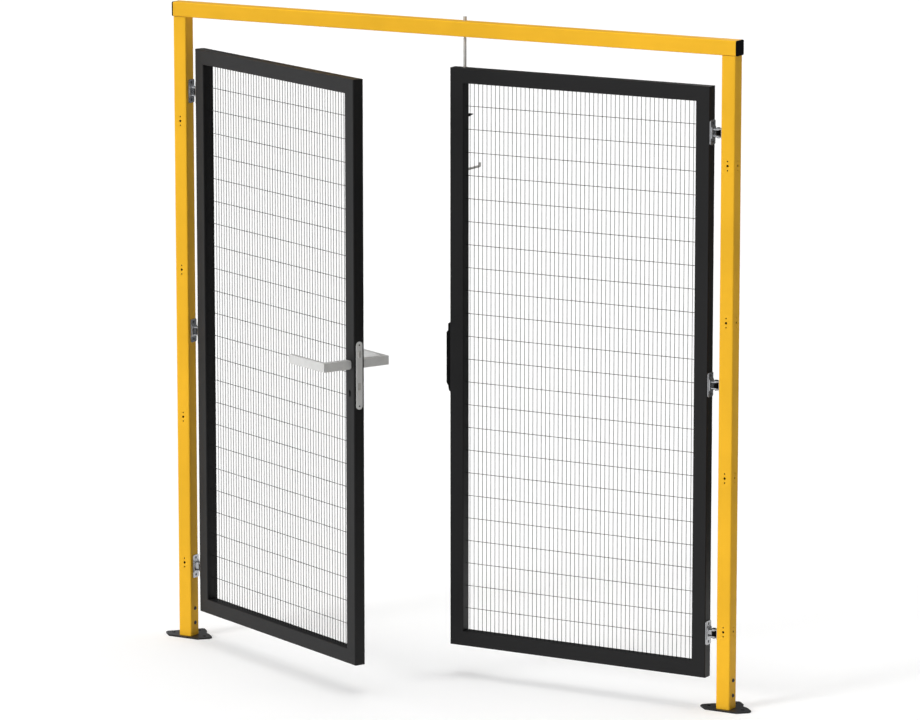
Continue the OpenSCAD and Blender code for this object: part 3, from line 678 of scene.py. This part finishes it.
def screw_tree():
    """Socket screws at the source's points, each turned to face along the point's facing."""
    tree = Tree("SocketScrews", takes_geometry=True)
    seat = tree.input("Seat radius", "Float")
    middle = tree.input("Middle radius", "Float")
    face = tree.input("Face radius", "Float")
    height = tree.input("Head height", "Float")
    shank = tree.input("Shank radius", "Float")
    length = tree.input("Shank length", "Float")
    socket = tree.input("Socket radius", "Float")
    depth = tree.input("Socket depth", "Float")
    material = tree.input("Material", "Material")
    half = tree.math("MULTIPLY", height, 0.5)
    lower = tree.node(
        "GeometryNodeMeshCone", Vertices=32, Radius_Bottom=seat, Radius_Top=middle, Depth=half
    )
    upper = tree.node(
        "GeometryNodeMeshCone", Vertices=32, Radius_Bottom=middle, Radius_Top=face, Depth=half
    )
    # The hexagon is twice as long as its socket is deep, because it is centred on the face.
    twice = tree.math("MULTIPLY", depth, 2.0)
    hexagon = tree.node("GeometryNodeMeshCylinder", Vertices=6, Radius=socket, Depth=twice)
    stem = tree.node("GeometryNodeMeshCylinder", Vertices=24, Radius=shank, Depth=length)
    bored = tree.node("GeometryNodeMeshBoolean", use_operation="DIFFERENCE")
    tree.feed(tree.moved(upper.outputs["Mesh"], Z=half), bored.inputs[0])
    tree.feed(tree.moved(hexagon.outputs["Mesh"], Z=height), bored.inputs[1])
    below = tree.moved(stem.outputs["Mesh"], Z=tree.math("MULTIPLY", length, -0.5))
    joined = tree.node("GeometryNodeJoinGeometry")
    for part in (lower.outputs["Mesh"], bored.outputs[0], below):
        tree.feed(part, joined.inputs[0])
    facing = tree.node(
        "GeometryNodeInputNamedAttribute", use_data_type="FLOAT_VECTOR", Name="facing"
    )
    turn = tree.node("FunctionNodeAlignRotationToVector", Vector=facing.outputs[0])
    screws = tree.node(
        "GeometryNodeInstanceOnPoints",
        Points=tree.inlet.outputs["Geometry"],
        Instance=joined.outputs[0],
        Rotation=turn.outputs[0],
    )
    tree.close(screws.outputs[0], material)
    return tree


def islands(node, place):
    """Lowest and highest corner of each separate solid of a CAD node, in the place's frame."""
    bm = merged_mesh(node)
    bmesh.ops.transform(bm, matrix=place.inverted(), verts=bm.verts)
    left, found = set(bm.verts), []
    while left:
        seed = left.pop()
        group, todo = [seed], [seed]
        while todo:
            for edge in todo.pop().link_edges:
                for other in edge.verts:
                    if other in left:
                        left.remove(other)
                        group.append(other)
                        todo.append(other)
        low, high = (
            Vector([pick(v.co[i] for v in group) for i in range(3)]) for pick in (min, max)
        )
        found.append((low, high))
    bm.free()
    return sorted(found, key=lambda box: tuple(round(c, 5) for c in box[0]))


def point_mesh(name, points, facings):
    """A mesh of single points, each with the way that it faces."""
    mesh = bpy.data.meshes.new(name)
    mesh.from_pydata([tuple(p) for p in points], [], [])
    attribute = mesh.attributes.new("facing", "FLOAT_VECTOR", "POINT")
    attribute.data.foreach_set("vector", [c for f in facings for c in f])
    return mesh


# ---- Operators ----


class MESHDOOR_OT_tubes(bpy.types.Operator):
    """Coat the posts, the beam, the leaf frames and the feet"""

    bl_idname = "meshdoor.tubes"
    bl_label = "Coat the Tubes"

    def execute(self, context):
        coat_nodes("head_plugs")
        for node in ("left_foot", "right_foot"):
            softened_copy(node, f"{node}_coated", FOOT_EDGE, segments=2, angle=50)
        # The posts and the beam get dark inner walls: bare steel, darkened as painted shade.
        for post in rounded_copies("left_post", "right_post"):
            shaded_bare_inside(post, along=2)
        for beam in rounded_copies("top_beam"):
            shaded_bare_inside(beam, along=0)
        for side in ("left", "right"):
            rounded_copies(f"{side}_hinge_stile", f"{side}_top_rail", f"{side}_bottom_rail")
        rounded_copies("left_lock_stile", "right_meeting_stile")
        return {"FINISHED"}


class MESHDOOR_OT_mesh(bpy.types.Operator):
    """String both leaves with upright and cross wires"""

    bl_idname = "meshdoor.mesh"
    bl_label = "String the Wire Mesh"

    def execute(self, context):
        sizes = context.scene.mesh_door_mesh
        tree = wire_tree()
        width, height = WIRE_X1 - WIRE_X0, WIRE_Z1 - WIRE_Z0
        across = width / (sizes.columns + 1)
        up = height / (sizes.rows + 1)
        # The uprights stand in front, and the cross wires lie against their backs.
        stand = Matrix.Translation((WIRE_X0 + across, -sizes.wire / 2, WIRE_Z0))
        lie = Matrix.Translation((WIRE_X0, sizes.wire / 2, WIRE_Z0 + up)) @ Matrix(
            ((0, 0, 1, 0), (0, -1, 0, 0), (1, 0, 0, 0), (0, 0, 0, 1))
        )
        for side in ("left", "right"):
            for kind, place, length, count, pitch in (
                ("upright", stand, height, sizes.columns, across),
                ("cross", lie, width, sizes.rows, up),
            ):
                node = f"{side}_{kind}_wires"
                name = f"{node}_round"
                values = {
                    "Length": length,
                    "Count": count,
                    "Pitch": pitch,
                    "Wire": sizes.wire,
                    "Material": finish_of(slot_of(node)),
                }
                mesh = tree.run(name, bpy.data.meshes.new(f"{name}_source"), values)
                settle(mesh, leaf_place(side) @ place)
                smooth(mesh, 60)
                new_piece(name, mesh, [node])
        return {"FINISHED"}


class MESHDOOR_OT_screws(bpy.types.Operator):
    """Set the socket screws of the feet, the hinges and the strike box"""

    bl_idname = "meshdoor.screws"
    bl_label = "Set the Screws"

    def execute(self, context):
        tree = screw_tree()
        for node, place, sizes in (
            ("left_post_bracket_screws", post_place("left"), FLUSH_SCREW),
            ("right_post_bracket_screws", post_place("right"), FLUSH_SCREW),
            ("left_leaf_bracket_screws", leaf_place("left"), FLUSH_SCREW),
            ("right_leaf_bracket_screws", leaf_place("right"), FLUSH_SCREW),
            ("foot_screws", Matrix.Identity(4), BUTTON_SCREW),
        ):
            points, facings = [], []
            for low, high in islands(node, place):
                centre = (low + high) / 2
                if sizes is FLUSH_SCREW:
                    # In the hinge's frame, the heads face its axis at x = 0.
                    way = 1 if centre.x < 0 else -1
                else:
                    # In the row frame, the heads stand out of the post's sides.
                    way = 1 if centre.x > math.copysign(POST_X, centre.x) else -1
                face = high.x if way > 0 else low.x
                points.append((face - way * sizes["Head height"], centre.y, centre.z))
                facings.append((way, 0, 0))
            name = f"{node}_set"
            source = point_mesh(f"{name}_points", points, facings)
            mesh = tree.run(name, source, {**sizes, "Material": finish_of(slot_of(node))})
            settle(mesh, place)
            smooth(mesh, 50)
            new_piece(name, mesh, [node])
        coat_nodes("beam_bolts", "handle_grub_screws")
        rounded_copies("forend_screws", "strike_screws", "rod_stay_screws")
        return {"FINISHED"}


class MESHDOOR_OT_hinges(bpy.types.Operator):
    """Plate the hinge brackets, their pins and their bushes"""

    bl_idname = "meshdoor.hinges"
    bl_label = "Finish the Hinges"

    def execute(self, context):
        for side in ("left", "right"):
            for kind in ("post", "leaf"):
                node = f"{side}_{kind}_brackets"
                softened_copy(node, f"{node}_plated", PLATE_EDGE, segments=2, angle=50)
            rounded_copies(f"{side}_hinge_pins", f"{side}_hinge_bushes")
        return {"FINISHED"}


class MESHDOOR_OT_lock(bpy.types.Operator):
    """Finish the lock, its levers and the strike box"""

    bl_idname = "meshdoor.lock"
    bl_label = "Finish the Lock"

    def execute(self, context):
        sizes = context.scene.mesh_door_fittings
        for node in ("front_handle", "back_handle"):
            softened_copy(node, f"{node}_bar", sizes.lever_edge)
        softened_copy("strike_box", "strike_box_moulded", sizes.box_edge)
        softened_copy("lock_forend", "lock_forend_plate", PLATE_EDGE, segments=2)
        coat_nodes("lock_case", "lock_follower", "handle_spindle")
        rounded_copies("latch_bolt", "dead_bolt")
        self.wind_spring()
        return {"FINISHED"}

    def wind_spring(self):
        """Winds the handle's return spring inside the lock case."""
        low, high = islands("handle_spring", Matrix.Identity(4))[0]
        middle = (low + high) / 2
        radius = (high.x - low.x - SPRING_WIRE) / 2
        rise = high.z - low.z - SPRING_WIRE
        up = Vector((0, 0, 1))
        around = [2 * math.pi * j / SPRING_SIDES for j in range(SPRING_SIDES)]
        count = SPRING_TURNS * SPRING_STEPS
        bm = bmesh.new()
        rings = []
        for i in range(count + 1):
            turn = 2 * math.pi * i / SPRING_STEPS
            out = Vector((math.cos(turn), math.sin(turn), 0))
            height = low.z + SPRING_WIRE / 2 + rise * i / count
            centre = Vector((middle.x, middle.y, height)) + out * radius
            ways = [out * math.cos(a) + up * math.sin(a) for a in around]
            rings.append([bm.verts.new(centre + way * SPRING_WIRE / 2) for way in ways])
        for a, b in zip(rings, rings[1:]):
            for j in range(SPRING_SIDES):
                k = (j + 1) % SPRING_SIDES
                bm.faces.new((a[j], a[k], b[k], b[j]))
        bm.faces.new(rings[0][::-1])
        bm.faces.new(rings[-1])
        bmesh.ops.recalc_face_normals(bm, faces=bm.faces)
        mesh = bpy.data.meshes.new("handle_spring_coil")
        bm.to_mesh(mesh)
        bm.free()
        mesh.materials.append(finish_of(slot_of("handle_spring")))
        smooth(mesh, 60)
        coil = new_piece("handle_spring_coil", mesh, ["handle_spring"])
        # The follower's finger presses its top down as the handle turns.
        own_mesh(coil)


class MESHDOOR_OT_caps(bpy.types.Operator):
    """Round the beam's end caps"""

    bl_idname = "meshdoor.caps"
    bl_label = "Fit the Beam Caps"

    def execute(self, context):
        for node in ("left_beam_cap", "right_beam_cap"):
            softened_copy(node, f"{node}_moulded", context.scene.mesh_door_fittings.cap_edge)
        return {"FINISHED"}


class MESHDOOR_OT_shoot_bolt(bpy.types.Operator):
    """Finish the rod, its handle, its guides and the keeper"""

    bl_idname = "meshdoor.shoot_bolt"
    bl_label = "Finish the Shoot Bolt"

    def execute(self, context):
        coat_nodes("rod_guides")
        rounded_copies("shoot_rod", "rod_handle", "rod_bush", "rod_stay", "bolt_keeper")
        return {"FINISHED"}


class MESHDOOR_OT_stage(bpy.types.Operator):
    """Lay the floor, set the lamps and place the camera"""

    bl_idname = "meshdoor.stage"
    bl_label = "Set the Stage"

    def execute(self, context):
        stage = context.scene.mesh_door_stage
        self.floor(stage)
        self.light(stage)
        self.screen(stage)
        self.camera(stage)
        context.scene.view_settings.view_transform = "Standard"
        return {"FINISHED"}

    def backdrop(self, name, mesh, material):
        """Links a mesh as part of the studio and returns its object."""
        mesh.materials.append(material)
        made = bpy.data.objects.new(name, mesh)
        bpy.context.scene.collection.objects.link(made)
        return made

    def floor(self, stage):
        """A pale matt floor that glows a little where it is seen, so that its shadows stay pale."""
        mesh = bpy.data.meshes.new("floor")
        corners = [
            (x * FLOOR_REACH, y * FLOOR_REACH, 0) for x, y in ((-1, -1), (1, -1), (1, 1), (-1, 1))
        ]
        mesh.from_pydata(corners, [], [(0, 1, 2, 3)])
        paint = Finish("pale_floor")
        paint.plain(Base_Color=FLOOR_COLOUR, Roughness=0.9, Specular_IOR_Level=0.0)
        path = paint.node("ShaderNodeLightPath").outputs
        seen = paint.math("MAXIMUM", path["Is Camera Ray"], path["Is Glossy Ray"])
        lift = paint.math("MULTIPLY", seen, stage.floor_lift)
        glow = paint.node("ShaderNodeEmission", Strength=lift)
        both = paint.node("ShaderNodeAddShader")
        paint.feed(paint.shader.outputs[0], both.inputs[0])
        paint.feed(glow.outputs[0], both.inputs[1])
        paint.feed(both.outputs[0], paint.tree.nodes["Material Output"].inputs["Surface"])
        self.backdrop("floor", mesh, paint.material)

    def light(self, stage):
        """Soft light from all round and two broad lamps, in a studio that is seen as white."""
        world = bpy.data.worlds.new("Studio")
        bpy.context.scene.world = world
        world.use_nodes = True
        sky = Nodes(world.node_tree)
        sky.tree.nodes.clear()
        path = sky.node("ShaderNodeLightPath").outputs
        seen = sky.math("MAXIMUM", path["Is Camera Ray"], path["Is Glossy Ray"])
        seen = sky.math("MAXIMUM", seen, path["Is Transmission Ray"])
        white = (1, 1, 1, 1)
        around = sky.node("ShaderNodeBackground", Color=white, Strength=stage.ambient)
        shown = sky.node("ShaderNodeBackground", Color=white)
        mix = sky.node("ShaderNodeMixShader", Fac=seen)
        sky.feed(around.outputs[0], mix.inputs[1])
        sky.feed(shown.outputs[0], mix.inputs[2])
        sky.node("ShaderNodeOutputWorld", Surface=mix.outputs[0])
        self.lamp("Key", stage.key, toward=(0.02, -0.06, -1.0), width=45)
        front = self.lamp("Front", stage.front, toward=(0.42, 0.87, -0.27), width=18)
        front.visible_glossy = False

    def screen(self, stage):
        """A photographer's grey screen, right of the door and behind it, seen in reflections."""
        low, high = [], []
        for i in range(SCREEN_STEPS + 1):
            angle = SCREEN_FROM + (SCREEN_TO - SCREEN_FROM) * i / SCREEN_STEPS
            x = SCREEN_RADIUS * math.cos(math.radians(angle))
            y = SCREEN_RADIUS * math.sin(math.radians(angle))
            top = SCREEN_SIDE_HEIGHT if angle < SCREEN_BACK_FROM else SCREEN_BACK_HEIGHT
            low.append((x, y, 0.0))
            high.append((x, y, top))
        row = SCREEN_STEPS + 1
        mesh = bpy.data.meshes.new("screen")
        mesh.from_pydata(
            low + high, [], [(i + 1, i, row + i, row + 1 + i) for i in range(SCREEN_STEPS)]
        )
        screen = self.backdrop("screen", mesh, self.screen_paint(stage))
        screen.visible_camera = False
        screen.visible_diffuse = False
        screen.visible_transmission = False
        screen.visible_volume_scatter = False
        screen.visible_shadow = False

    def screen_paint(self, stage):
        """Greys that change with the compass, and run out to white at the screen's ends."""
        paint = Finish("grey_screen")
        compass = paint.node(
            "ShaderNodeTexGradient", use_gradient_type="RADIAL", Vector=paint.coords
        )
        ramp = paint.node("ShaderNodeValToRGB", Fac=compass.outputs["Fac"])
        elements = ramp.color_ramp.elements
        elements.remove(elements[-1])
        for angle, level in (
            (SCREEN_FROM, 1.0),
            (-25, stage.side_screen),
            (35, stage.side_screen),
            (60, stage.corner_screen),
            (80, stage.corner_screen),
            (100, stage.back_screen),
            (140, stage.back_screen),
            (SCREEN_TO, 1.0),
        ):
            # The gradient runs from 0 to 1 round the compass, and is half at the right.
            at = angle / 360 + 0.5
            element = elements[0] if angle == SCREEN_FROM else elements.new(at)
            element.position = at
            element.color = (level, level, level, 1)
        glow = paint.node("ShaderNodeEmission", Color=ramp.outputs["Color"])
        paint.feed(glow.outputs[0], paint.tree.nodes["Material Output"].inputs["Surface"])
        paint.tree.nodes.remove(paint.shader)
        return paint.material

    def lamp(self, name, strength, toward, width):
        """A distant lamp that shines along toward and looks width degrees wide."""
        data = bpy.data.lights.new(name, "SUN")
        data.energy = strength
        data.angle = math.radians(width)
        lamp = bpy.data.objects.new(name, data)
        lamp.rotation_euler = Vector(toward).to_track_quat("-Z", "Y").to_euler()
        bpy.context.scene.collection.objects.link(lamp)
        return lamp

    def camera(self, stage):
        data = bpy.data.cameras.new("Camera")
        data.sensor_width = 36
        data.lens = stage.lens
        data.clip_start, data.clip_end = 0.1, 200
        camera = bpy.data.objects.new("Camera", data)
        camera.location = stage.camera_at
        camera.rotation_euler = (math.pi / 2 - stage.elevation, 0, stage.azimuth)
        bpy.context.scene.collection.objects.link(camera)
        bpy.context.scene.camera = camera


OPERATORS = (
    MESHDOOR_OT_tubes,
    MESHDOOR_OT_mesh,
    MESHDOOR_OT_screws,
    MESHDOOR_OT_hinges,
    MESHDOOR_OT_lock,
    MESHDOOR_OT_caps,
    MESHDOOR_OT_shoot_bolt,
    MESHDOOR_OT_stage,
)


class MESHDOOR_PT_panel(bpy.types.Panel):
    """Lists the steps that dress the door"""

    bl_idname = "MESHDOOR_PT_panel"
    bl_label = "Mesh Door"
    bl_space_type = "VIEW_3D"
    bl_region_type = "UI"
    bl_category = "Mesh Door"

    def draw(self, context):
        for operator in OPERATORS:
            self.layout.operator(operator.bl_idname)


SETTINGS = {
    "mesh_door_coats": MeshDoorCoats,
    "mesh_door_mesh": MeshDoorMesh,
    "mesh_door_fittings": MeshDoorFittings,
    "mesh_door_stage": MeshDoorStage,
}


def register():
    for group in SETTINGS.values():
        bpy.utils.register_class(group)
    for operator in OPERATORS:
        bpy.utils.register_class(operator)
    bpy.utils.register_class(MESHDOOR_PT_panel)
    for name, group in SETTINGS.items():
        setattr(bpy.types.Scene, name, PointerProperty(type=group))


def unregister():
    for name in SETTINGS:
        delattr(bpy.types.Scene, name)
    bpy.utils.unregister_class(MESHDOOR_PT_panel)
    for operator in reversed(OPERATORS):
        bpy.utils.unregister_class(operator)
    for group in SETTINGS.values():
        bpy.utils.unregister_class(group)


def main():
    register()
    bpy.ops.meshdoor.tubes()
    bpy.ops.meshdoor.mesh()
    bpy.ops.meshdoor.screws()
    bpy.ops.meshdoor.hinges()
    bpy.ops.meshdoor.lock()
    bpy.ops.meshdoor.caps()
    bpy.ops.meshdoor.shoot_bolt()
    bpy.ops.meshdoor.stage()


if __name__ == "__main__":
    main()
